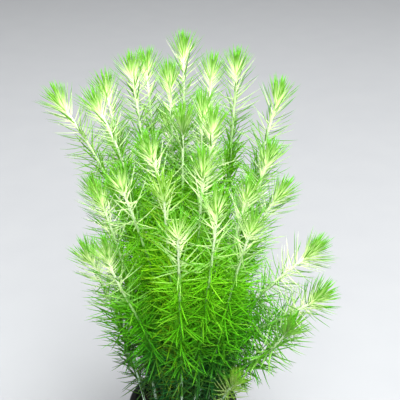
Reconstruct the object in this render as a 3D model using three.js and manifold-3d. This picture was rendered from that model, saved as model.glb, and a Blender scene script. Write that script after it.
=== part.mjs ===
// Stream bogmoss (Mayaca fluviatilis): a bunch of rooted shoots standing in a small black pot.
// Millimetres, +Z up. The origin is the centre of the pot's foot, on the surface it stands on.
// The bunch is seen in the photograph from the -Y side.
import * as THREE from 'three';
import { mergeVertices } from 'three/addons/utils/BufferGeometryUtils.js';
import Module from 'manifold-3d';

const wasm = await Module();
wasm.setup();

// Pot: a tapered plastic pot with a collar and a rolled lip
const potHeight = 48;
const potLipRadius = 27;
const potCollarRadius = 26.2;
const potCollarHeight = 8;
const potBodyRadius = 25;
const potFootRadius = 19.5;
const potWall = 1.3;
const potFloor = 1.6;
const potMouthRadius = potBodyRadius - potWall;
const potSides = 28;
const drainHoles = 6;
const drainHoleRadius = 2;
const drainCircleRadius = 13;
const drainHoleSides = 10;
const footRound = 0.8;
const lipHeight = 1.6;
const lipRound = 0.6;

// Growing medium: the dark plug that fills the pot and holds the stems
const mediumTop = 42;
const mediumLump = 0.9;
const mediumShoulder = 1.5;
const mediumSides = 24;
const clearance = 0.3;
const socketArcSteps = 3;

// Shoots: a thin stem with needle leaves all round it, ending in a dense tuft
const stemRadius = 1;
const socketFloor = 33;
const bareStem = 23;
const leafLength = 13.5;
const lowLeafShare = 0.75;
const lowLeafHeight = 55;
const fullLeafHeight = 105;
const leafAngleAtTip = 40;
const leafAngleSpread = 40;
const leafAngleRun = 80;
const whorlStep = 20;
const whorlWaist = 0.42;
const whorlLap = 0.3;
const betweenLeaves = 0.74;
const shootSides = 6;

// The tuft's outline: each height is above the stem's end, and the waist is below it
const tuftWaistDepth = 6;
const tuftWaistRadius = 3.7;
const tuftShoulderHeight = 4;
const tuftShoulderRadius = 8.2;
const tuftCrownHeight = 10;
const tuftCrownRadius = 5;
const tuftHeight = 12.5;
const tuftUpturn = 0.5;

// Shoots keep clear of each other and of the pot's mouth
const neighbourGap = 0.8;
const potMargin = 3;
const leastShare = 0.1;
const shareStep = 0.06;
const routeSteps = 90;

// Roots sit in the pot in the same order as the tips, so that no stem crosses another
const rootSpread = 0.3;
const rootCircleRadius = 17.5;
const tallRise = 150;
const shortShootSpread = 0.7;

// Shares of a stem's run outwards and of its rise at the two inner control points of its curve
const archedBends = [{ run: 0.15, rise: 0.36 }, { run: 0.56, rise: 0.72 }];

// These shoots have places in the pot and curves of their own
const ownRoutes = {
  shoot_back_4: { root: [9, 7], bends: [{ run: 0.45, rise: 0.3 }, { run: 0.8, rise: 0.6 }] },
  shoot_middle_3: { root: [-10, 2], bends: [{ run: 0, rise: 0.3 }, { run: 0.2, rise: 0.78 }] },
  shoot_middle_4: { root: [-13, 6], bends: [{ run: 0, rise: 0.5 }, { run: 0.35, rise: 0.78 }] },
  shoot_middle_5: { root: [0, -6], bends: [{ run: 0.2, rise: 0.5 }, { run: 0.2, rise: 0.78 }] },
  shoot_middle_8: { root: [17, -3], bends: [{ run: 0.2, rise: 0.4 }, { run: 0.35, rise: 0.85 }] },
  shoot_front_2: { root: [5, -16], bends: [{ run: 0.2, rise: 0.5 }, { run: 0.8, rise: 0.7 }] },
  shoot_front_4: { root: [-5, -10], bends: [{ run: 0.1, rise: 0.5 }, { run: 0.2, rise: 0.6 }] },
  shoot_left_2: { root: [-5, -16], bends: [{ run: 0, rise: 0.5 }, { run: 0.8, rise: 0.78 }] },
  shoot_right_1: { root: [3, -13], bends: [{ run: 0.1, rise: 0.4 }, { run: 0.35, rise: 0.7 }] },
  shoot_right_2: { root: [10, -4], bends: [{ run: 0, rise: 0.65 }, { run: 0.45, rise: 0.65 }] },
  shoot_right_3: { root: [14, -8], bends: [{ run: 0, rise: 0.65 }, { run: 0.45, rise: 0.5 }] },
};

// Where each stem ends, inside its tuft
const shootTips = {
  shoot_back_1: [1, 40, 215],
  shoot_back_2: [-5, 21, 207],
  shoot_back_3: [14, 46, 203],
  shoot_back_4: [25, 27, 211],
  shoot_back_5: [43, 14, 201],
  shoot_back_6: [10, 16, 195],
  shoot_back_7: [-22, 24, 210],
  shoot_back_8: [-17, 45, 206],
  shoot_back_9: [-36, 42, 196],
  shoot_middle_1: [14, -9, 196],
  shoot_middle_2: [1, 2, 193],
  shoot_middle_3: [-36, 6, 200],
  shoot_middle_4: [-53, 14, 199],
  shoot_middle_5: [-12, -20, 189],
  shoot_middle_6: [10, -29, 185],
  shoot_middle_7: [38, -3, 179],
  shoot_middle_8: [43, -8, 164],
  shoot_middle_9: [28, -24, 171],
  shoot_front_1: [29, -43, 165],
  shoot_front_2: [15, -50, 177],
  shoot_front_3: [0, -58, 171],
  shoot_front_4: [-23, -36, 181],
  shoot_front_5: [-33, -22, 168],
  shoot_front_6: [-6, -42, 180],
  shoot_left_1: [-40, -16, 137],
  shoot_left_2: [-30, -38, 150],
  shoot_right_1: [56, -24, 144],
  shoot_right_2: [58, -35, 128],
  shoot_right_3: [47, -34, 111],
  shoot_low: [24, -27, 78],
  shoot_rear_1: [-34, 57, 165],
  shoot_rear_2: [-8, 64, 172],
  shoot_rear_3: [22, 62, 150],
  shoot_rear_4: [34, 46, 142],
  shoot_rear_5: [-42, 31, 148],
  shoot_rear_6: [3, 62, 136],
};

// Taller shoots are paler
const lowTip = 80;
const highTip = 200;
const colours = {
  pot: 0x101112,
  medium: 0x1d1a14,
  tallShoot: 0x8fd04a,
  lowShoot: 0x4f9a2a,
};

const worldUp = new THREE.Vector3(0, 0, 1);
const worldRight = new THREE.Vector3(1, 0, 0);

// A stem rises nearly upright from its root and leans out more and more towards its tip
function stemRoute(name, [x, y, z]) {
  const rise = z - socketFloor;
  const spread = Math.min(
    rootSpread * (tallRise / (z - mediumTop)) ** shortShootSpread,
    rootCircleRadius / Math.hypot(x, y),
  );
  const own = ownRoutes[name] ?? { root: [x * spread, y * spread], bends: archedBends };
  const root = new THREE.Vector3(...own.root, socketFloor);
  const run = new THREE.Vector3(x - root.x, y - root.y, 0);
  const bends = own.bends.map((bend) =>
    root.clone().addScaledVector(run, bend.run).addScaledVector(worldUp, bend.rise * rise),
  );
  return new THREE.CubicBezierCurve3(root, ...bends, new THREE.Vector3(x, y, z));
}

const routes = Object.fromEntries(
  Object.entries(shootTips).map(([name, tip]) => [name, stemRoute(name, tip)]),
);

const routePoints = Object.fromEntries(
  Object.entries(routes).map(([name, route]) => [name, route.getSpacedPoints(routeSteps)]),
);

function distanceToRoute(point, name) {
  return Math.min(...routePoints[name].map((p) => p.distanceTo(point)));
}

function meetsPot(point) {
  return point.z < potHeight + potMargin && Math.hypot(point.x, point.y) > potMouthRadius - potMargin;
}

// How far a leaf may reach, as a share, before it is nearer a neighbour's stem or in the pot's lip
function clearShare(name, from, to) {
  const others = Object.keys(routes).filter((other) => other !== name);
  for (let share = 1; share > leastShare; share -= shareStep) {
    const point = from.clone().lerp(to, share);
    const limit = distanceToRoute(point, name) + neighbourGap;
    const free = others.every((other) => distanceToRoute(point, other) > limit);
    if (free && !meetsPot(point)) return share;
  }
  return leastShare;
}

// One ring of corners round a stem. Every second corner is a leaf tip, the others lie between leaves.
function ring(name, centre, axis, radius, lift, turn) {
  const side = worldRight.clone().addScaledVector(axis, -worldRight.dot(axis)).normalize();
  const back = axis.clone().cross(side);
  const corners = [];
  for (let i = 0; i < shootSides; i++) {
    const angle = (2 * Math.PI * i) / shootSides;
    const share = radius <= stemRadius || (i + turn) % 2 === 0 ? 1 : betweenLeaves;
    const reach = radius * share;
    const corner = centre
      .clone()
      .addScaledVector(side, reach * Math.cos(angle))
      .addScaledVector(back, reach * Math.sin(angle))
      .addScaledVector(axis, lift);
    const free = radius <= stemRadius ? 1 : clearShare(name, centre, corner);
    const stemShare = Math.min(1, stemRadius / reach);
    corners.push(centre.clone().lerp(corner, Math.max(free, stemShare)));
  }
  return corners;
}

// The angle between a leaf and its stem: narrow in the tuft, wide near the pot
function leafAngle(fromTip) {
  const share = THREE.MathUtils.smoothstep(fromTip, 0, leafAngleRun);
  return THREE.MathUtils.degToRad(leafAngleAtTip + leafAngleSpread * share);
}

// Leaves low on a stem are old and shorter
function leafLengthAt(height) {
  const share = THREE.MathUtils.smoothstep(height, lowLeafHeight, fullLeafHeight);
  return leafLength * THREE.MathUtils.lerp(lowLeafShare, 1, share);
}

// The rings of one shoot: a bare stem, then whorls that each open upwards like a shuttlecock, then the tuft
function shootRings(name) {
  const route = routes[name];
  const length = route.getLength();
  const ringAlong = (along, radius, lift, turn) => {
    const share = along / length;
    return ring(name, route.getPointAt(share), route.getTangentAt(share), radius, lift, turn);
  };
  const rings = [ringAlong(0, stemRadius, 0, 0), ringAlong(bareStem, stemRadius, 0, 0)];
  const leafyLength = length - bareStem - leafLength;
  const whorls = Math.max(1, Math.round(leafyLength / whorlStep));
  const step = leafyLength / whorls;
  for (let i = 0; i < whorls; i++) {
    const along = bareStem + 2 * stemRadius + i * step;
    const angle = leafAngle(length - along);
    const leaf = leafLengthAt(route.getPointAt(along / length).z);
    const reach = leaf * Math.sin(angle);
    rings.push(ringAlong(along, reach * whorlWaist, 0, i));
    rings.push(ringAlong(along, reach, leaf * Math.cos(angle) + step * whorlLap, i));
  }
  const tip = route.getPointAt(1);
  const axis = route.getTangentAt(1).addScaledVector(worldUp, tuftUpturn).normalize();
  rings.push(ringAlong(length - tuftWaistDepth, tuftWaistRadius, 0, whorls));
  rings.push(ring(name, tip, axis, tuftShoulderRadius, tuftShoulderHeight, whorls));
  rings.push(ring(name, tip, axis, tuftCrownRadius, tuftCrownHeight, whorls + 1));
  return { rings, top: tip.clone().addScaledVector(axis, tuftHeight) };
}

// Rings joined in order into one closed skin, from a flat foot to a point
function closedSkin(rings, top) {
  const sides = rings[0].length;
  const points = [...rings.flat(), top];
  const faces = [];
  for (let i = 1; i < sides - 1; i++) faces.push(0, i + 1, i);
  for (let r = 0; r < rings.length - 1; r++) {
    for (let i = 0; i < sides; i++) {
      const a = r * sides + i;
      const b = r * sides + ((i + 1) % sides);
      faces.push(a, b, b + sides, a, b + sides, a + sides);
    }
  }
  const last = (rings.length - 1) * sides;
  for (let i = 0; i < sides; i++) faces.push(last + i, last + ((i + 1) % sides), points.length - 1);
  const geometry = new THREE.BufferGeometry().setFromPoints(points);
  geometry.setIndex(faces);
  return geometry;
}

function shootGeometry(name) {
  const { rings, top } = shootRings(name);
  return closedSkin(rings, top);
}

function solidFrom(geometry) {
  const bare = geometry.clone();
  bare.deleteAttribute('normal');
  bare.deleteAttribute('uv');
  const merged = mergeVertices(bare, 1e-4);
  return new wasm.Manifold(
    new wasm.Mesh({
      numProp: 3,
      vertProperties: merged.attributes.position.array,
      triVerts: new Uint32Array(merged.index.array),
    }),
  );
}

function geometryFrom(solid) {
  const mesh = solid.getMesh();
  const corners = new Float32Array(mesh.numVert * 3);
  for (let i = 0; i < mesh.numVert; i++) {
    corners.set(mesh.vertProperties.subarray(i * mesh.numProp, i * mesh.numProp + 3), i * 3);
  }
  const geometry = new THREE.BufferGeometry();
  geometry.setAttribute('position', new THREE.BufferAttribute(corners, 3));
  geometry.setIndex(new THREE.BufferAttribute(mesh.triVerts, 1));
  return geometry;
}

// A turned shape about +Z from a profile of [radius, height] pairs that starts and ends on the axis
function turned(profile, sides) {
  const points = profile.map(([radius, height]) => new THREE.Vector2(radius, height));
  return new THREE.LatheGeometry(points, sides).rotateX(Math.PI / 2);
}

function potInnerRadius(height) {
  const share = (height - potFloor) / (potHeight - potCollarHeight - potFloor);
  return THREE.MathUtils.lerp(potFootRadius, potBodyRadius, Math.min(share, 1)) - potWall;
}

function potGeometry() {
  const collarFoot = potHeight - potCollarHeight;
  const profile = [
    [0, 0],
    [potFootRadius - footRound, 0],
    [potFootRadius, footRound],
    [potBodyRadius, collarFoot - footRound],
    [potCollarRadius, collarFoot],
    [potCollarRadius, potHeight - lipHeight - lipRound],
    [potLipRadius, potHeight - lipHeight],
    [potLipRadius, potHeight - lipRound],
    [potLipRadius - lipRound, potHeight],
    [potMouthRadius + lipRound, potHeight],
    [potMouthRadius, potHeight - lipRound],
    [potInnerRadius(collarFoot), collarFoot],
    [potInnerRadius(potFloor), potFloor],
    [0, potFloor],
  ];
  const shell = solidFrom(turned(profile, potSides));
  const holes = [];
  for (let i = 0; i < drainHoles; i++) {
    const angle = (2 * Math.PI * i) / drainHoles;
    const hole = new THREE.CylinderGeometry(drainHoleRadius, drainHoleRadius, 3 * potFloor, drainHoleSides)
      .rotateX(Math.PI / 2)
      .translate(drainCircleRadius * Math.cos(angle), drainCircleRadius * Math.sin(angle), potFloor / 2);
    holes.push(solidFrom(hole));
  }
  return geometryFrom(holes.reduce((left, hole) => left.subtract(hole), shell));
}

// The plug narrows with the pot's wall, and its top is lumpy
function mediumGeometry() {
  const foot = potFloor + clearance;
  const footRadius = potInnerRadius(foot) - 2 * clearance;
  const topRadius = potInnerRadius(mediumTop) - 2 * clearance;
  const profile = [
    [0, foot],
    [footRadius, foot],
    [topRadius, mediumTop - mediumShoulder],
    [topRadius * 0.8, mediumTop],
    [topRadius * 0.5, mediumTop],
    [0, mediumTop],
  ];
  const plug = turned(profile, mediumSides);
  const position = plug.attributes.position;
  for (let i = 0; i < position.count; i++) {
    const [x, y, z] = [position.getX(i), position.getY(i), position.getZ(i)];
    const lump = mediumLump * Math.sin(0.9 * x + 0.4 * y) * Math.cos(0.7 * y - 0.3 * x);
    if (z > mediumTop - mediumShoulder / 2) position.setZ(i, z + lump);
  }
  const sockets = Object.keys(routes).map((name) => solidFrom(socketGeometry(routes[name])));
  return geometryFrom(sockets.reduce((left, socket) => left.subtract(socket), solidFrom(plug)));
}

// The hole a stem stands in: the stem's own line, wider by the clearance and open at the top
function socketGeometry(route) {
  const length = route.getLength();
  const foot = route.getPointAt(0).addScaledVector(worldUp, -clearance);
  const mouth = route.getPointAt(bareStem / length);
  const section = new THREE.Shape();
  section.absarc(0, 0, stemRadius + clearance, 0, 2 * Math.PI);
  return new THREE.ExtrudeGeometry(section, {
    curveSegments: socketArcSteps,
    steps: 1,
    extrudePath: new THREE.LineCurve3(foot, mouth),
  });
}

function plastic(colour, roughness) {
  return new THREE.MeshStandardMaterial({ color: colour, roughness, metalness: 0 });
}

function leafMaterial(height) {
  const share = THREE.MathUtils.smoothstep(height, lowTip, highTip);
  const colour = new THREE.Color(colours.lowShoot).lerp(new THREE.Color(colours.tallShoot), share);
  return new THREE.MeshStandardMaterial({ color: colour, roughness: 0.55, metalness: 0 });
}

function named(name, geometry, material) {
  const mesh = new THREE.Mesh(geometry, material);
  mesh.name = name;
  return mesh;
}

const plant = new THREE.Group();
plant.add(named('pot', potGeometry(), plastic(colours.pot, 0.5)));
plant.add(named('growing_medium', mediumGeometry(), plastic(colours.medium, 0.95)));
for (const [name, tip] of Object.entries(shootTips)) {
  plant.add(named(name, shootGeometry(name), leafMaterial(tip[2])));
}

export default plant;
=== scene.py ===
import math

import bmesh
import bpy
import numpy as np
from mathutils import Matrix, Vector


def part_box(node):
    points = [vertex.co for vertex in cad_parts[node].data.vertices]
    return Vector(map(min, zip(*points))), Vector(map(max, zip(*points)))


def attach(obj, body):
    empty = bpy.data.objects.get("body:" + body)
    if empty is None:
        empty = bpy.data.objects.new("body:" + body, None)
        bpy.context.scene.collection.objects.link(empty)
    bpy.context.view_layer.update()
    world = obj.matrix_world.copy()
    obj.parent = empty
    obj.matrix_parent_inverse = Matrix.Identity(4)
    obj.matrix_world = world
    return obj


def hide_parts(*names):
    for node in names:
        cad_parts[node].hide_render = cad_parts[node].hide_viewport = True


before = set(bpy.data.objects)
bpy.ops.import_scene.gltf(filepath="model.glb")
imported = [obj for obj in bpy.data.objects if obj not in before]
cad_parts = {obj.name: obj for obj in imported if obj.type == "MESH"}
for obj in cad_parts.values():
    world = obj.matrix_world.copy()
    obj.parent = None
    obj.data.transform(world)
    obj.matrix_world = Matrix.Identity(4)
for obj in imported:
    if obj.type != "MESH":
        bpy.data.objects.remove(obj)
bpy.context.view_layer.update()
shootNodes = sorted(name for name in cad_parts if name.startswith("shoot_"))
print(f"frame: {len(shootNodes)} shoots, {len(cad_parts)} nodes")

mm = 0.001


# Camera: in front of the bunch and above it, as the photo was taken
cameraLooks = {
    "target": (8.5 * mm, 0, 159 * mm),
    "distance": 405 * mm,
    "elevation": math.radians(25),
    "sensor": 36,
    "lens": 81,
    "clipStart": 10 * mm,
}


def placeCamera(looks):
    back = Vector((0, -math.cos(looks["elevation"]), math.sin(looks["elevation"])))
    data = bpy.data.cameras.new("photo_camera")
    data.sensor_width = looks["sensor"]
    data.lens = looks["lens"]
    data.clip_start = looks["clipStart"]
    camera = bpy.data.objects.new("photo_camera", data)
    camera.location = Vector(looks["target"]) + back * looks["distance"]
    camera.rotation_euler = (-back).to_track_quat("-Z", "Y").to_euler()
    bpy.context.scene.collection.objects.link(camera)
    bpy.context.scene.camera = camera


placeCamera(cameraLooks)
print("camera placed")


# Shader maths: an expression on values adds its Math nodes
class Value:
    def __init__(self, shades, socket):
        self.shades = shades
        self.socket = socket

    def maths(self, operation, *terms):
        made = self.shades.node("ShaderNodeMath", {"operation": operation}, dict(enumerate(terms)))
        return Value(self.shades, made.outputs[0])

    def __add__(self, other):
        return self.maths("ADD", self, other)

    def __radd__(self, other):
        return self.maths("ADD", other, self)

    def __sub__(self, other):
        return self.maths("SUBTRACT", self, other)

    def __rsub__(self, other):
        return self.maths("SUBTRACT", other, self)

    def __mul__(self, other):
        return self.maths("MULTIPLY", self, other)

    def __rmul__(self, other):
        return self.maths("MULTIPLY", other, self)

    def __pow__(self, other):
        return self.maths("POWER", self, other)


# One material and what its nodes are made with
class Shades:
    def __init__(self, name):
        self.material = bpy.data.materials.new(name)
        self.material.use_nodes = True
        self.tree = self.material.node_tree
        self.tree.nodes.clear()
        self.place = self.node("ShaderNodeTexCoord").outputs["Object"]

    def node(self, kind, settings=None, sockets=None):
        made = self.tree.nodes.new(kind)
        for key, value in (settings or {}).items():
            if key != "stops":
                setattr(made, key, value)
                continue
            ramp = made.color_ramp.elements
            while len(ramp) < len(value):
                ramp.new(0.5)
            for element, (position, colour) in zip(ramp, value):
                element.position = position
                element.color = (*colour, 1)
        for key, value in (sockets or {}).items():
            if isinstance(value, Value):
                value = value.socket
            if isinstance(value, bpy.types.NodeSocket):
                self.tree.links.new(value, made.inputs[key])
            elif isinstance(value, tuple) and len(value) == 3 and made.inputs[key].type == "RGBA":
                made.inputs[key].default_value = (*value, 1)
            else:
                made.inputs[key].default_value = value
        return made

    def attribute(self, name):
        made = self.node("ShaderNodeAttribute", {"attribute_name": name})
        return Value(self, made.outputs["Fac"])

    def height(self):
        made = self.node("ShaderNodeSeparateXYZ", None, {0: self.place})
        return Value(self, made.outputs["Z"])

    def fromAxis(self):
        # how far out from the pot's upright axis
        level = {0: self.place, 1: (1, 1, 0)}
        flat = self.node("ShaderNodeVectorMath", {"operation": "MULTIPLY"}, level)
        made = self.node("ShaderNodeVectorMath", {"operation": "LENGTH"}, {0: flat.outputs[0]})
        return Value(self, made.outputs["Value"])

    def noise(self, scale, detail, stretch=(1, 1, 1)):
        stretched = {"Vector": self.place, "Scale": stretch}
        spot = self.node("ShaderNodeMapping", None, stretched).outputs[0]
        sockets = {"Vector": spot, "Scale": scale, "Detail": detail}
        return Value(self, self.node("ShaderNodeTexNoise", None, sockets).outputs["Fac"])

    def between(self, value, low, high):
        # 0 at low and 1 at high, with a soft step
        made = self.node(
            "ShaderNodeMapRange",
            {"interpolation_type": "SMOOTHSTEP"},
            {"Value": value, "From Min": low, "From Max": high},
        )
        return Value(self, made.outputs[0])

    def mixed(self, share, first, second):
        made = self.node("ShaderNodeMix", {"data_type": "RGBA"}, {0: share, 6: first, 7: second})
        return made.outputs[2]

    def ramp(self, value, stops):
        return self.node("ShaderNodeValToRGB", {"stops": stops}, {"Fac": value}).outputs["Color"]

    def bump(self, height, depth, strength):
        sockets = {"Height": height, "Distance": depth, "Strength": strength}
        return self.node("ShaderNodeBump", None, sockets).outputs["Normal"]

    def surface(self, **sockets):
        named = {key.replace("_", " "): value for key, value in sockets.items()}
        return self.node("ShaderNodeBsdfPrincipled", None, named).outputs[0]

    def finish(self, shader):
        self.node("ShaderNodeOutputMaterial", None, {"Surface": shader})
        return self.material


def tint(red, green, blue):
    # a screen colour, 0 to 255, as the linear colour that shaders take
    shares = (part / 255 for part in (red, green, blue))
    return tuple(s / 12.92 if s < 0.04 else ((s + 0.055) / 1.055) ** 2.4 for s in shares)


black = tint(0, 0, 0)


# Leaves: fine needles all round each stem, packed close in the tuft
leafLooks = {
    "length": 14 * mm,
    "lengthScatter": 0.08,
    "lengthLimits": (0.7, 1.15),
    "innerLengthShare": 0.85,
    "width": 0.67 * mm,
    "widthScatter": 0.1,
    "widthLimits": (0.75, 1.3),
    "tuftWidthShare": 1.05,
    "lowWidening": 0.1,
    "thickness": 0.28 * mm,
    "tuftDepth": 2.4 * mm,
    # by depth below the stem's end: degrees from the stem, and how far single leaves stray
    "angles": (
        (0, 6),
        (0.8 * mm, 22),
        (2.2 * mm, 35),
        (4 * mm, 43),
        (7 * mm, 50),
        (11 * mm, 59),
        (20 * mm, 67),
        (40 * mm, 72),
        (70 * mm, 67),
    ),
    "scatters": ((0, 2), (4 * mm, 3), (10 * mm, 7), (25 * mm, 10), (60 * mm, 26), (100 * mm, 34)),
    "wideShoots": ("shoot_right_1", "shoot_right_2", "shoot_right_3", "shoot_low"),
    "wideAngle": 12,
    "wideRun": (0, 12 * mm),
    # by depth below the stem's end: leaves on a metre of stem, times the shoot's own density
    "densities": {
        "shoot_right_1": 1.35,
        "shoot_right_2": 1.35,
        "shoot_right_3": 1.35,
        "shoot_low": 1.35,
        "shoot_front_1": 0.85,
        "shoot_front_2": 0.75,
        "shoot_front_3": 0.75,
        "shoot_front_4": 0.8,
        "shoot_front_6": 0.8,
    },
    "leavesPerMetre": (
        (0, 19000),
        (2.2 * mm, 14000),
        (4 * mm, 5000),
        (6.5 * mm, 2600),
        (12 * mm, 2100),
        (25 * mm, 2700),
        (45 * mm, 4700),
    ),
    "depthSteps": 800,
    "lowLeavesShare": 0.3,
    "sparseHeights": (50 * mm, 88 * mm),
    "lowLengthShare": 0.75,
    "lowHeights": (55 * mm, 105 * mm),
    "thickRun": 50 * mm,
    "bareLength": 23 * mm,
    "turn": 137.5,
    "turnScatter": 0.5,
    # by depth below the stem's end: how far a leaf's tip hangs, in its lengths, negative upwards
    "droops": ((0, 0), (7 * mm, -0.1), (14 * mm, -0.12), (40 * mm, -0.08), (70 * mm, -0.04)),
    "curveScatter": 0.07,
    "leastCurve": 0.3,
    "youngRun": (5 * mm, 36 * mm),
    "heartRun": (1.5 * mm, 5 * mm),
    # painted highlights: whitish leaves below the tuft between these depths, on every leaf of the
    # listed shoots and a random share elsewhere
    "highlightStart": (2.5 * mm, 7 * mm),
    "highlightEnd": (14 * mm, 38 * mm),
    "highlightShares": (0.2, 0.6),  # at least, and up to so much more at random
    "warmScatter": 0.3,
    "warmShoots": ("shoot_low", "shoot_front_6"),
    "highlitShoots": (
        "shoot_back_1",
        "shoot_back_6",
        "shoot_front_5",
        "shoot_middle_9",
        "shoot_right_1",
    ),
    "tuftPaleness": {
        "shoot_right_3": 0.35,
        "shoot_low": 0.5,
        "shoot_front_6": 0.8,
        "shoot_middle_2": 0.55,
    },
    # the blade's cuts, as shares of its length, and its width at the foot and at each cut
    "stations": (0.18, 0.46, 0.76),
    "widths": (0.65, 1, 0.95, 0.6),
    "near": 0.001,  # how close to a cut a corner has to be, in the blade's lengths
    "seed": 7,
    # heights, and reaches from the pot's axis, over which the leaves' colours change
    "riseHeights": (50 * mm, 120 * mm),
    "middleHeights": (80 * mm, 160 * mm),
    "topHeights": (150 * mm, 215 * mm),
    "outsideReach": (21 * mm, 43 * mm),
    "outsideHeights": (130 * mm, 85 * mm),
    "outsideLift": 26 * mm,
    # painted shade: grown leaves are darker towards the bottom of the bunch and brighter higher up,
    # where more light falls
    "grownShadeHeights": (45 * mm, 200 * mm),
    "grownShadeTints": (
        (0, tint(4, 62, 38)),
        (0.2, tint(22, 104, 48)),
        (0.42, tint(86, 196, 32)),
        (0.65, tint(126, 218, 24)),
        (1, tint(104, 178, 34)),
    ),
    "youngTints": (
        (0, tint(16, 78, 8)),
        (0.35, tint(56, 142, 24)),
        (0.65, tint(122, 200, 60)),
        (1, tint(226, 244, 164)),
    ),
    "heartTints": (
        (0, tint(252, 252, 214)),
        (0.36, tint(244, 248, 184)),
        (0.66, tint(166, 220, 84)),
        (1, tint(80, 164, 32)),
    ),
    "darkTint": tint(12, 74, 6),
    "lightTint": tint(160, 220, 60),
    "warmTint": tint(204, 236, 36),
    "tipTint": tint(74, 160, 32),
    "baseTint": tint(249, 251, 210),
    "highlightTint": tint(248, 250, 216),
    "throughTint": tint(192, 238, 88),
    # painted light: faint glows of the bunch's body, the tuft and the pale feet of its leaves
    "bodyGlow": tint(38, 68, 6),
    "tuftGlow": tint(38, 64, 16),
    "baseGlow": tint(234, 238, 206),
}

# Stems: the same line as the frame's solids, from the socket in the medium to the tuft
stemLooks = {
    "radius": 0.65 * mm,
    "tipShare": 0.8,
    "tuftHeight": 12.5 * mm,
    "tuftUpturn": 0.5,
    # shares of the run and of the rise at the curve's two inner control points
    "bends": ((0.15, 0.36), (0.56, 0.72)),
    "ownBends": {
        "shoot_back_4": ((0.45, 0.3), (0.8, 0.6)),
        "shoot_middle_3": ((0, 0.3), (0.2, 0.78)),
        "shoot_middle_4": ((0, 0.5), (0.35, 0.78)),
        "shoot_middle_5": ((0.2, 0.5), (0.2, 0.78)),
        "shoot_middle_8": ((0.2, 0.4), (0.35, 0.85)),
        "shoot_front_2": ((0.2, 0.5), (0.8, 0.7)),
        "shoot_front_4": ((0.1, 0.5), (0.2, 0.6)),
        "shoot_left_2": ((0, 0.5), (0.8, 0.78)),
        "shoot_right_1": ((0.1, 0.4), (0.35, 0.7)),
        "shoot_right_2": ((0, 0.65), (0.45, 0.65)),
        "shoot_right_3": ((0, 0.65), (0.45, 0.5)),
    },
    "footCorners": 6,
    "rounds": 30,
    "linePoints": 240,
    "curveSteps": 40,
    "bevelSteps": 3,
    # from olive at the foot to green, then pale to near white at the end: the near white is painted
    # highlight from the light above
    "tints": (
        (0, tint(84, 92, 40)),
        (0.3, tint(62, 124, 26)),
        (0.65, tint(92, 168, 40)),
        (0.8, tint(190, 228, 150)),
        (1, tint(248, 252, 234)),
    ),
    "streakTint": tint(112, 168, 60),
    "wornTint": tint(190, 214, 196),
    "wornHeights": (110 * mm, 70 * mm),
    # painted light: the stem's end glows faintly, as if brightly lit from above
    "tipGlow": tint(96, 100, 80),
    "glowShares": (0.82, 0.98),  # of the stem's height, over which its end starts to glow
}


def deselectAll():
    for thing in bpy.context.selected_objects:
        thing.select_set(False)


def selectOnly(thing):
    deselectAll()
    thing.select_set(True)
    bpy.context.view_layer.objects.active = thing


def pick(thing, wanted):
    # in edit mode, selects the corners whose place the test wants
    mesh = bmesh.from_edit_mesh(thing.data)
    for corner in mesh.verts:
        corner.select_set(bool(wanted(corner.co)))
    mesh.select_flush(True)
    mesh.select_flush(False)
    bmesh.update_edit_mesh(thing.data)


def modelLeaf(looks):
    # a four-sided blade along +Z, 1 long and 1 wide, drawn out to a point
    deselectAll()
    bpy.ops.mesh.primitive_cylinder_add(
        vertices=4, radius=0.5, depth=1, location=(0, 0, 0.5), end_fill_type="NGON"
    )
    leaf = bpy.context.object
    leaf.name = "leaf_template"
    bpy.ops.object.transform_apply(location=True, rotation=True, scale=True)
    bpy.ops.object.mode_set(mode="EDIT")
    for height in looks["stations"]:
        bpy.ops.mesh.select_all(action="SELECT")
        bpy.ops.mesh.bisect(plane_co=(0, 0, height), plane_no=(0, 0, 1))
    for height, width in zip((0, *looks["stations"]), looks["widths"]):
        pick(leaf, lambda place: abs(place.z - height) < looks["near"])
        bpy.ops.transform.resize(value=(width, width, 1))
    pick(leaf, lambda place: place.z > 1 - looks["near"])
    bpy.ops.mesh.merge(type="CENTER")
    bpy.ops.mesh.select_all(action="SELECT")
    bpy.ops.mesh.quads_convert_to_tris()
    bpy.ops.mesh.normals_make_consistent(inside=False)
    bpy.ops.object.mode_set(mode="OBJECT")
    corners = np.array([corner.co for corner in leaf.data.vertices])
    faces = np.array([tuple(face.vertices) for face in leaf.data.polygons])
    bpy.data.objects.remove(leaf)
    return corners, faces


def stemLine(node, looks):
    # the four control points of the stem's curve, from the solid's foot and its furthest reach
    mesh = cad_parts[node].data
    corners = np.unique(np.round([tuple(corner.co) for corner in mesh.vertices], 6), axis=0)
    root = corners[np.argsort(corners[:, 2])[: looks["footCorners"]]].mean(axis=0)
    crown = corners[np.argmax(np.linalg.norm(corners - root, axis=1))]
    bends = looks["ownBends"].get(node, looks["bends"])
    up = np.array([0, 0, 1.0])
    tip = crown - up * looks["tuftHeight"]
    for _ in range(looks["rounds"]):  # the tuft's lean and the stem's end settle together
        run = (tip - root) * (1, 1, 0)
        rise = up * (tip[2] - root[2])
        lower, upper = (root + run * outwards + rise * upwards for outwards, upwards in bends)
        ahead = (tip - upper) / np.linalg.norm(tip - upper)
        axis = ahead + up * looks["tuftUpturn"]
        axis /= np.linalg.norm(axis)
        tip = crown - axis * looks["tuftHeight"]
    return np.array([root, lower, upper, tip]), axis


def alongLine(points, count):
    # places, directions and running length along the curve through four control points
    t = np.linspace(0, 1, count)[:, None]
    a, b, c, d = points
    places = a * (1 - t) ** 3 + b * 3 * t * (1 - t) ** 2 + c * 3 * t**2 * (1 - t) + d * t**3
    steps = np.linalg.norm(np.diff(places, axis=0), axis=1)
    lengths = np.concatenate([[0], np.cumsum(steps)])
    ahead = np.gradient(places, axis=0)
    return places, ahead / np.linalg.norm(ahead, axis=1)[:, None], lengths


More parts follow.
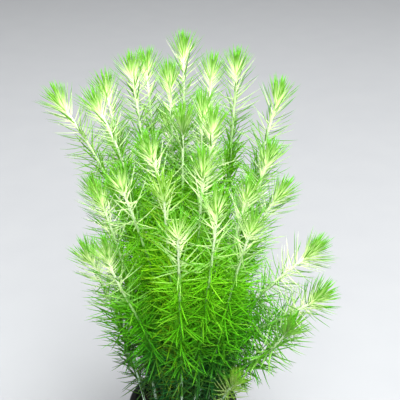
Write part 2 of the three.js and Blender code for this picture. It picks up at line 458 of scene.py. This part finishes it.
def sampled(lengths, values, at):
    # the line's places or directions at some lengths along it
    return np.stack([np.interp(at, lengths, values[:, i]) for i in range(3)], axis=1)


def eased(values, low, high):
    # 0 at low and 1 at high, with a soft step
    share = np.clip((values - low) / (high - low), 0, 1)
    return share * share * (3 - 2 * share)


def unit(vectors):
    return vectors / np.linalg.norm(vectors, axis=1)[:, None]


def leafDepths(heights, lengths, looks, thicker):
    # how far below the stem's end each leaf grows: close in the tuft, then spaced down the stem
    full = lengths[-1]
    grid = np.linspace(0, full - looks["bareLength"], looks["depthSteps"])
    kept = eased(np.interp(full - grid, lengths, heights), *looks["sparseHeights"])
    density = np.interp(grid, *zip(*looks["leavesPerMetre"])) * thicker
    density = density * (looks["lowLeavesShare"] + (1 - looks["lowLeavesShare"]) * kept)
    counted = np.concatenate([[0], np.cumsum(np.diff(grid) * density[1:])])
    return np.interp(np.arange(int(counted[-1])), counted, grid)


def leafMesh(name, node, template, looks, stems, random):
    # every leaf of one shoot in one mesh, with what its material reads
    points, crownAxis = stemLine(node, stems)
    places, ahead, lengths = alongLine(points, stems["linePoints"])
    full = lengths[-1]
    depth = leafDepths(places[:, 2], lengths, looks, looks["densities"].get(node, 1))
    count = len(depth)
    inTuft = 1 - np.clip(depth / looks["tuftDepth"], 0, 1)
    below = eased(depth, looks["tuftDepth"], looks["thickRun"])

    # the leaf's own directions: along it, across it and out of its face
    base = sampled(lengths, places, full - depth)
    axis = sampled(lengths, ahead, full - depth)
    axis = unit(axis + (crownAxis - axis) * inTuft[:, None])
    side = unit(np.array([[1.0, 0, 0]]) - axis * axis[:, :1])
    back = np.cross(axis, side)
    turn = np.arange(count) * math.radians(looks["turn"])
    turn = turn + random.normal(0, looks["turnScatter"], count)
    out = side * np.cos(turn)[:, None] + back * np.sin(turn)[:, None]
    scatter = np.interp(depth, *zip(*looks["scatters"]))
    angle = np.interp(depth, *zip(*looks["angles"])) + random.normal(0, 1, count) * scatter
    if node in looks["wideShoots"]:
        angle = angle + looks["wideAngle"] * eased(depth, *looks["wideRun"])
    angle = np.radians(angle)[:, None]
    direction = axis * np.cos(angle) + out * np.sin(angle)
    across = np.cross(axis, out)
    normal = np.cross(direction, across)

    length = looks["length"] * (1 - (1 - looks["innerLengthShare"]) * inTuft)
    low = 1 - eased(base[:, 2], *looks["lowHeights"])
    length = length * (1 - (1 - looks["lowLengthShare"]) * low)
    length = length * random.normal(1, looks["lengthScatter"], count).clip(*looks["lengthLimits"])
    wider = looks["lowWidening"] * below
    width = looks["width"] * (1 - (1 - looks["tuftWidthShare"]) * inTuft + wider)
    width = width * random.normal(1, looks["widthScatter"], count).clip(*looks["widthLimits"])
    curve = looks["leastCurve"] + below
    droop = random.normal(0, looks["curveScatter"], count) * curve
    droop = np.interp(depth, *zip(*looks["droops"])) + droop
    sway = random.normal(0, looks["curveScatter"], count) * curve

    corners, faces = template
    u, v, w = (corners[:, i][None, :, None] for i in range(3))
    reach = length[:, None, None]
    spread = (
        base[:, None]
        + direction[:, None] * (reach * w)
        - normal[:, None] * (reach * droop[:, None, None] * w**2)
        + across[:, None] * (reach * sway[:, None, None] * w**2)
        + across[:, None] * (width[:, None, None] * u)
        + normal[:, None] * (looks["thickness"] * v)
    )
    triangles = faces[None] + (np.arange(count) * len(corners))[:, None, None]
    shape = (count, len(corners))
    paleness = looks["tuftPaleness"].get(node, 1)
    young = paleness * (1 - eased(depth, *looks["youngRun"]))
    heart = paleness * (1 - eased(depth, *looks["heartRun"]))
    # painted highlight: the share of whitish leaves below the tuft, full on some shoots and random
    # on the others
    outer = eased(depth, *looks["highlightStart"]) * (1 - eased(depth, *looks["highlightEnd"])) * paleness
    least, more = looks["highlightShares"]
    outer = outer * (1 if node in looks["highlitShoots"] else least + more * random.random())
    tone = random.random(count)
    warm = 1.0 if node in looks["warmShoots"] else looks["warmScatter"] * random.random() ** 2
    values = {
        "along": np.broadcast_to(corners[:, 2], shape),
        "young": np.broadcast_to(young[:, None], shape),
        "heart": np.broadcast_to(heart[:, None], shape),
        "outer": np.broadcast_to(outer[:, None], shape),
        "tone": np.broadcast_to(tone[:, None], shape),
        "warm": np.full(shape, warm),
    }
    return meshFrom(name, spread.reshape(-1, 3), triangles.reshape(-1, 3), values)


def meshFrom(name, corners, triangles, values):
    # a mesh of triangles, with the values at its corners that its material reads
    mesh = bpy.data.meshes.new(name)
    mesh.vertices.add(len(corners))
    mesh.vertices.foreach_set("co", corners.astype(np.float32).ravel())
    mesh.loops.add(triangles.size)
    mesh.loops.foreach_set("vertex_index", triangles.astype(np.int32).ravel())
    mesh.polygons.add(len(triangles))
    mesh.polygons.foreach_set("loop_start", np.arange(0, triangles.size, 3, dtype=np.int32))
    mesh.update(calc_edges=True)
    for key, numbers in values.items():
        made = mesh.attributes.new(key, "FLOAT", "POINT")
        made.data.foreach_set("value", np.ascontiguousarray(numbers, dtype=np.float32).ravel())
    return mesh


def leafMaterial(looks):
    shades = Shades("bogmoss_leaf")
    along = shades.attribute("along")
    young = shades.attribute("young")
    heart = shades.attribute("heart")
    outer = shades.attribute("outer")
    tone = shades.attribute("tone")
    warm = shades.attribute("warm")
    height = shades.height()
    rise = shades.between(height, *looks["riseHeights"])
    middle = shades.between(height, *looks["middleHeights"])
    top = shades.between(height, *looks["topHeights"])

    # painted shade: grown leaves are darker lower down; low leaves on the outside get more light,
    # so their colour is that of higher ones
    outside = shades.between(shades.fromAxis(), *looks["outsideReach"])
    outside = outside * shades.between(height, *looks["outsideHeights"])
    lifted = shades.between(height + looks["outsideLift"] * outside, *looks["grownShadeHeights"])
    grown = shades.ramp(lifted, looks["grownShadeTints"])

    # young leaves differ most, grown ones have some dark and some light among them
    colour = shades.mixed(young * 0.85, grown, shades.ramp(tone, looks["youngTints"]))
    dark = 0.65 * shades.between(tone, 0.5, 0) * (1 - young)
    colour = shades.mixed(dark, colour, looks["darkTint"])
    light = 0.6 * shades.between(tone, 0.75, 1) * (1 - young) * rise
    colour = shades.mixed(light, colour, looks["lightTint"])

    # the tuft's pale heart and its leaves' green tips; their pale feet, partly own colour and
    # partly painted light, weaker lower down; and painted highlights on the leaves round it
    tips = shades.between(along, 0.3, 0.9) * young
    colour = shades.mixed(0.8 * heart, colour, shades.ramp(along, looks["heartTints"]))
    colour = shades.mixed(0.3 * warm, colour, looks["warmTint"])
    colour = shades.mixed(0.7 * tips, colour, looks["tipTint"])
    # the pale feet are partly the leaves' own colour and partly painted light: weaker lower down,
    # where less light falls
    bases = shades.between(along, 0.7, 0.1) * young**2 * shades.between(tone, 0, 0.45)
    bases = bases * (0.3 + 0.7 * rise)
    colour = shades.mixed(0.95 * bases, colour, looks["baseTint"])
    # painted highlight: whitish leaves round the tuft, as if lit white from above
    colour = shades.mixed(outer * shades.between(tone, 0.5, 0.75) * 0.9, colour, looks["highlightTint"])

    # painted light: a faint glow stands for the light that passes through many thin leaves,
    # stronger towards the top
    glow = shades.mixed(middle * (1 - young), black, looks["bodyGlow"])
    glow = shades.mixed(young * (0.4 + 0.6 * top), glow, looks["tuftGlow"])
    glow = shades.mixed((0.38 + 0.5 * top) * bases, glow, looks["baseGlow"])
    grain = shades.noise(900, 2)
    surface = shades.surface(
        Base_Color=colour,
        Roughness=0.34 + 0.2 * grain,
        Specular_IOR_Level=0.12,
        Emission_Color=glow,
        Emission_Strength=1,
        Normal=shades.bump(grain, 0.04 * mm, 0.4),
    )
    through = shades.node("ShaderNodeBsdfTranslucent", None, {"Color": looks["throughTint"]})
    share = (0.12 + 0.18 * rise + 0.25 * young + 0.15 * heart) * (1 - 0.8 * tips)
    share = share * (1 - 0.6 * bases)
    blend = {0: share, 1: surface, 2: through.outputs[0]}
    return shades.finish(shades.node("ShaderNodeMixShader", None, blend).outputs[0])


def stemMaterial(looks):
    shades = Shades("bogmoss_stem")
    grown = shades.attribute("grown")
    streaks = shades.noise(260, 3, (1, 1, 0.15))
    # painted highlight: the stem pales to near white towards its end, where the light from above
    # falls
    colour = shades.mixed(0.2 * streaks, shades.ramp(grown, looks["tints"]), looks["streakTint"])
    worn = shades.between(shades.noise(55, 1), 0.5, 0.62)
    worn = worn * shades.between(shades.height(), *looks["wornHeights"])
    colour = shades.mixed(0.75 * worn, colour, looks["wornTint"])
    # painted light: a faint glow at the stem's end, as if brightly lit from above
    glow = shades.mixed(shades.between(grown, *looks["glowShares"]), black, looks["tipGlow"])
    scars = shades.noise(1500, 1)
    surface = shades.surface(
        Base_Color=colour,
        Roughness=0.34 + 0.25 * streaks,
        Emission_Color=glow,
        Emission_Strength=1,
        Normal=shades.bump(scars, 0.15 * mm, 0.6),
    )
    return shades.finish(surface)


def modelStem(name, points, looks):
    # a bezier curve with the frame's own control points, thinner towards the tip, made a mesh
    deselectAll()
    bpy.ops.curve.primitive_bezier_curve_add(location=(0, 0, 0))
    stem = bpy.context.object
    stem.name = name
    data = stem.data
    data.dimensions = "3D"
    data.resolution_u = looks["curveSteps"]
    data.bevel_depth = looks["radius"]
    data.bevel_resolution = looks["bevelSteps"]
    data.use_fill_caps = True
    foot, head = data.splines[0].bezier_points
    for point in (foot, head):
        point.handle_left_type = "FREE"
        point.handle_right_type = "FREE"
    root, lower, upper, tip = (Vector(p) for p in points)
    foot.co = root
    foot.handle_left = root * 2 - lower
    foot.handle_right = lower
    head.co = tip
    head.handle_left = upper
    head.handle_right = tip * 2 - upper
    head.radius = looks["tipShare"]
    bpy.ops.object.convert(target="MESH")
    stem = bpy.context.object
    corners = np.array([corner.co for corner in stem.data.vertices])
    grown = (corners[:, 2] - points[0][2]) / (points[3][2] - points[0][2])
    made = stem.data.attributes.new("grown", "FLOAT", "POINT")
    made.data.foreach_set("value", grown.astype(np.float32))
    bpy.ops.object.shade_smooth()
    return stem


def growShoots():
    template = modelLeaf(leafLooks)
    leafPaint, stemPaint = leafMaterial(leafLooks), stemMaterial(stemLooks)
    random = np.random.default_rng(leafLooks["seed"])
    total = 0
    for node in shootNodes:
        points, _ = stemLine(node, stemLooks)
        stem = modelStem(node.replace("shoot", "stem"), points, stemLooks)
        stem.data.materials.append(stemPaint)
        name = node.replace("shoot", "leaves")
        mesh = leafMesh(name, node, template, leafLooks, stemLooks, random)
        leaves = bpy.data.objects.new(name, mesh)
        bpy.context.scene.collection.objects.link(leaves)
        leaves.data.materials.append(leafPaint)
        # a leaf's faces are triangles and a stem's are four-sided
        total += len(mesh.polygons) + len(stem.data.polygons) * 2
        for piece in (stem, leaves):
            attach(piece, "root")
            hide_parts(node)
    print(f"shoots: {len(shootNodes)}, about {total} triangles")


growShoots()


# Pot: turned from its foot up and over the lip, with drain holes in its floor
potLooks = {
    "sides": 96,
    "footRadius": 19.5 * mm,
    "bodyRadius": 25 * mm,
    "collarRadius": 26.2 * mm,
    "collarHeight": 8 * mm,
    "lipHeight": 1.6 * mm,
    "wall": 1.3 * mm,
    "floor": 1.6 * mm,
    "round": 0.6 * mm,
    "drainHoles": 6,
    "drainRadius": 2 * mm,
    "drainCircle": 13 * mm,
    "drillSides": 24,
    "drillDepth": 8 * mm,
    "edge": 0.22 * mm,
    "edgeSteps": 2,
    "edgeAngle": math.radians(20),
    "smoothAngle": math.radians(35),
    "plasticTint": tint(15, 17, 16),
    "dustTint": tint(54, 56, 50),
}


def applied(thing, kind, **settings):
    # adds a modifier with its settings and applies it
    selectOnly(thing)
    made = thing.modifiers.new(kind.lower(), kind)
    for key, value in settings.items():
        setattr(made, key, value)
    bpy.ops.object.modifier_apply(modifier=made.name)


def modelPot(looks):
    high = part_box("pot")[1]
    lipRadius, top = high.x, high.z
    mouth = looks["bodyRadius"] - looks["wall"]
    collarFoot = top - looks["collarHeight"]
    bend = looks["round"]
    # radius and height of each turn of the wall, up its outside and down its inside
    stations = [
        (looks["footRadius"], bend),
        (looks["bodyRadius"], collarFoot - bend),
        (looks["collarRadius"], collarFoot),
        (looks["collarRadius"], top - looks["lipHeight"] - bend),
        (lipRadius, top - looks["lipHeight"]),
        (lipRadius, top - bend),
        (lipRadius - bend, top),
        (mouth + bend, top),
        (mouth, top - bend),
        (mouth, collarFoot),
        (looks["footRadius"] - looks["wall"], looks["floor"]),
    ]
    deselectAll()
    radius, height = looks["footRadius"] - bend, 0
    bpy.ops.mesh.primitive_circle_add(
        vertices=looks["sides"], radius=radius, fill_type="NGON", location=(0, 0, 0)
    )
    pot = bpy.context.object
    pot.name = "bogmoss_pot"
    bpy.ops.object.mode_set(mode="EDIT")
    for nextRadius, nextHeight in stations:  # the open edge is drawn on and made wider or narrower
        bpy.ops.mesh.select_all(action="DESELECT")
        bpy.ops.mesh.select_mode(type="EDGE")
        bpy.ops.mesh.select_non_manifold(extend=False)
        lift = (0, 0, nextHeight - height)
        bpy.ops.mesh.extrude_edges_move(TRANSFORM_OT_translate={"value": lift})
        bpy.ops.transform.resize(value=(nextRadius / radius, nextRadius / radius, 1))
        radius, height = nextRadius, nextHeight
    bpy.ops.mesh.edge_face_add()
    bpy.ops.mesh.select_all(action="SELECT")
    bpy.ops.mesh.normals_make_consistent(inside=False)
    bpy.ops.object.mode_set(mode="OBJECT")
    # the drills for the drain holes are joined and cut out together
    drills = []
    for i in range(looks["drainHoles"]):
        turn = 2 * math.pi * i / looks["drainHoles"]
        x, y = looks["drainCircle"] * math.cos(turn), looks["drainCircle"] * math.sin(turn)
        deselectAll()
        bpy.ops.mesh.primitive_cylinder_add(
            vertices=looks["drillSides"],
            radius=looks["drainRadius"],
            depth=looks["drillDepth"],
            location=(x, y, looks["floor"] / 2),
        )
        drills.append(bpy.context.object)
    for drill in drills:
        drill.select_set(True)
    bpy.context.view_layer.objects.active = drills[0]
    bpy.ops.object.join()
    drill = bpy.context.object
    applied(pot, "BOOLEAN", operation="DIFFERENCE", solver="EXACT", object=drill)
    bpy.data.objects.remove(drill)
    applied(
        pot,
        "BEVEL",
        width=looks["edge"],
        segments=looks["edgeSteps"],
        limit_method="ANGLE",
        angle_limit=looks["edgeAngle"],
    )
    bpy.ops.object.shade_smooth_by_angle(angle=looks["smoothAngle"])
    pot.data.materials.append(potMaterial(looks))
    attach(pot, "root")
    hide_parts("pot")


def potMaterial(looks):
    shades = Shades("pot_plastic")
    cloud = shades.noise(60, 4)
    grain = shades.noise(1400, 2)
    dust = shades.between(cloud, 0.5, 0.8) * 0.35
    colour = shades.mixed(dust, looks["plasticTint"], looks["dustTint"])
    surface = shades.surface(
        Base_Color=colour,
        Roughness=0.36 + 0.25 * cloud,
        Normal=shades.bump(grain, 0.06 * mm, 0.5),
    )
    return shades.finish(surface)


modelPot(potLooks)
print("pot modelled")


# Growing medium: a lumpy damp plug with loose grains on top
mediumLooks = {
    "sides": 72,
    "rings": 11,
    "lumpDepth": 2.2 * mm,
    "lumpSize": 5 * mm,
    "gap": 0.5 * mm,
    "near": 0.1 * mm,  # how close to the plug's top a corner has to be
    "rimShare": 0.97,
    "smoothAngle": math.radians(60),
    "grains": 900,
    "grainSize": (0.5 * mm, 1.5 * mm),
    "grainShape": (1, 0.75, 0.6),
    "grainRoughness": 0.18,
    "seed": 11,
    "tints": ((0.3, tint(20, 17, 12)), (0.6, tint(44, 36, 24)), (0.8, tint(74, 60, 40))),
    "grainTint": tint(66, 56, 38),
}


def modelMedium(looks):
    low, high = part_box("growing_medium")
    radius = high.x
    top = high.z - looks["lumpDepth"] / 2
    deselectAll()
    bpy.ops.mesh.primitive_cone_add(
        vertices=looks["sides"],
        radius1=potLooks["footRadius"] - potLooks["wall"] - looks["gap"],
        radius2=radius,
        depth=top - low.z,
        location=(0, 0, (top + low.z) / 2),
    )
    plug = bpy.context.object
    plug.name = "growing_medium_plug"
    bpy.ops.object.transform_apply(location=True, rotation=True, scale=True)
    bpy.ops.object.mode_set(mode="EDIT")
    pick(plug, lambda place: place.z > top - looks["near"])
    bpy.ops.mesh.select_mode(type="FACE")
    for _ in range(looks["rings"]):
        bpy.ops.mesh.inset(thickness=radius / (looks["rings"] + 1), depth=0)
    bpy.ops.mesh.poke()
    bpy.ops.object.mode_set(mode="OBJECT")
    upper = plug.vertex_groups.new(name="upper")
    inside = radius * looks["rimShare"]
    for corner in plug.data.vertices:
        if corner.co.z > top - looks["near"] and corner.co.xy.length < inside:
            upper.add([corner.index], 1, "REPLACE")
    clouds = bpy.data.textures.new("lumps", "CLOUDS")
    clouds.noise_scale = looks["lumpSize"]
    applied(
        plug,
        "DISPLACE",
        texture=clouds,
        strength=looks["lumpDepth"],
        vertex_group="upper",
        direction="Z",
    )
    bpy.ops.object.shade_smooth_by_angle(angle=looks["smoothAngle"])
    grains = scatterGrains(plug, radius, looks)
    paint = mediumMaterial(looks)
    for piece in (plug, grains):
        piece.data.materials.append(paint)
        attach(piece, "root")
    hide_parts("growing_medium")


def scatterGrains(plug, radius, looks):
    # small crumbs, one shaped once and repeated with its own size and turn
    deselectAll()
    bpy.ops.mesh.primitive_ico_sphere_add(subdivisions=1, radius=1, location=(0, 0, 0))
    crumb = bpy.context.object
    bpy.ops.object.mode_set(mode="EDIT")
    bpy.ops.mesh.select_all(action="SELECT")
    bpy.ops.transform.resize(value=looks["grainShape"])
    bpy.ops.transform.vertex_random(offset=looks["grainRoughness"], seed=looks["seed"])
    bpy.ops.object.mode_set(mode="OBJECT")
    corners = np.array([corner.co for corner in crumb.data.vertices])
    faces = np.array([tuple(face.vertices) for face in crumb.data.polygons])
    bpy.data.objects.remove(crumb)
    random = np.random.default_rng(looks["seed"])
    count = looks["grains"]
    reach = radius * looks["rimShare"] * np.sqrt(random.random(count))
    turn = random.random(count) * 2 * math.pi
    x, y = reach * np.cos(turn), reach * np.sin(turn)
    z = np.array([plug.ray_cast((a, b, 1), (0, 0, -1))[1].z for a, b in zip(x, y)])
    size = random.uniform(*looks["grainSize"], count) * random.random(count) ** 0.5
    a, b, c, d = unit(random.normal(0, 1, (count, 4))).T  # a random turn for each grain
    turns = np.array(
        [
            [1 - 2 * (c * c + d * d), 2 * (b * c - a * d), 2 * (b * d + a * c)],
            [2 * (b * c + a * d), 1 - 2 * (b * b + d * d), 2 * (c * d - a * b)],
            [2 * (b * d - a * c), 2 * (c * d + a * b), 1 - 2 * (b * b + c * c)],
        ]
    ).transpose(2, 0, 1)
    spread = np.einsum("nij,kj->nki", turns, corners) * size[:, None, None]
    spread = spread + np.stack([x, y, z], 1)[:, None]
    triangles = faces[None] + (np.arange(count) * len(corners))[:, None, None]
    tone = np.broadcast_to(random.random(count)[:, None], (count, len(corners)))
    name = "growing_medium_grains"
    mesh = meshFrom(name, spread.reshape(-1, 3), triangles.reshape(-1, 3), {"tone": tone})
    grains = bpy.data.objects.new(name, mesh)
    bpy.context.scene.collection.objects.link(grains)
    return grains


def mediumMaterial(looks):
    shades = Shades("damp_medium")
    tone = shades.attribute("tone")
    crumbs = shades.noise(420, 4)
    fibres = shades.noise(200, 5, (1, 4, 1))
    colour = shades.mixed(0.4 * tone, shades.ramp(crumbs, looks["tints"]), looks["grainTint"])
    surface = shades.surface(
        Base_Color=colour,
        Roughness=0.75 + 0.2 * fibres,
        Normal=shades.bump(crumbs + fibres, 0.5 * mm, 0.8),
    )
    return shades.finish(surface)


modelMedium(mediumLooks)
print("growing medium modelled")


# Floor and light: a plain pale floor and soft studio light from above
stageLooks = {
    "floorSize": 6,
    "floorTint": tint(150, 152, 155),
    "speckTint": tint(200, 200, 196),
    # name, place, size and power of each lamp, and the spot that they point at
    "lamps": (
        ("key_light", (0.25, -0.15, 1.7), 1.1, 62),
        ("fill_light", (0.15, -1.3, 1.3), 1.4, 45),
    ),
    "lampAim": (0, 0, 130 * mm),
    "skyTint": tint(214, 214, 212),
    "skyStrength": 0.32,
}


def areaLight(name, place, aim, size, power):
    data = bpy.data.lights.new(name, "AREA")
    data.size = size
    data.energy = power
    lamp = bpy.data.objects.new(name, data)
    lamp.location = place
    lamp.rotation_euler = (Vector(aim) - Vector(place)).to_track_quat("-Z", "Y").to_euler()
    bpy.context.scene.collection.objects.link(lamp)


def setStage(looks):
    deselectAll()
    bpy.ops.mesh.primitive_plane_add(size=looks["floorSize"], location=(0, 0, 0))
    floor = bpy.context.object
    floor.name = "floor"
    shades = Shades("floor_paint")
    speck = shades.noise(30, 3)
    colour = shades.mixed(0.08 * speck, looks["floorTint"], looks["speckTint"])
    paint = shades.finish(shades.surface(Base_Color=colour, Roughness=0.7 + 0.1 * speck))
    floor.data.materials.append(paint)
    for name, place, size, power in looks["lamps"]:
        areaLight(name, place, looks["lampAim"], size, power)
    world = bpy.data.worlds.new("studio")
    world.use_nodes = True
    background = world.node_tree.nodes["Background"]
    background.inputs["Color"].default_value = (*looks["skyTint"], 1)
    background.inputs["Strength"].default_value = looks["skyStrength"]
    bpy.context.scene.world = world
    bpy.context.scene.view_settings.view_transform = "Standard"


setStage(stageLooks)
print("floor and lights set")
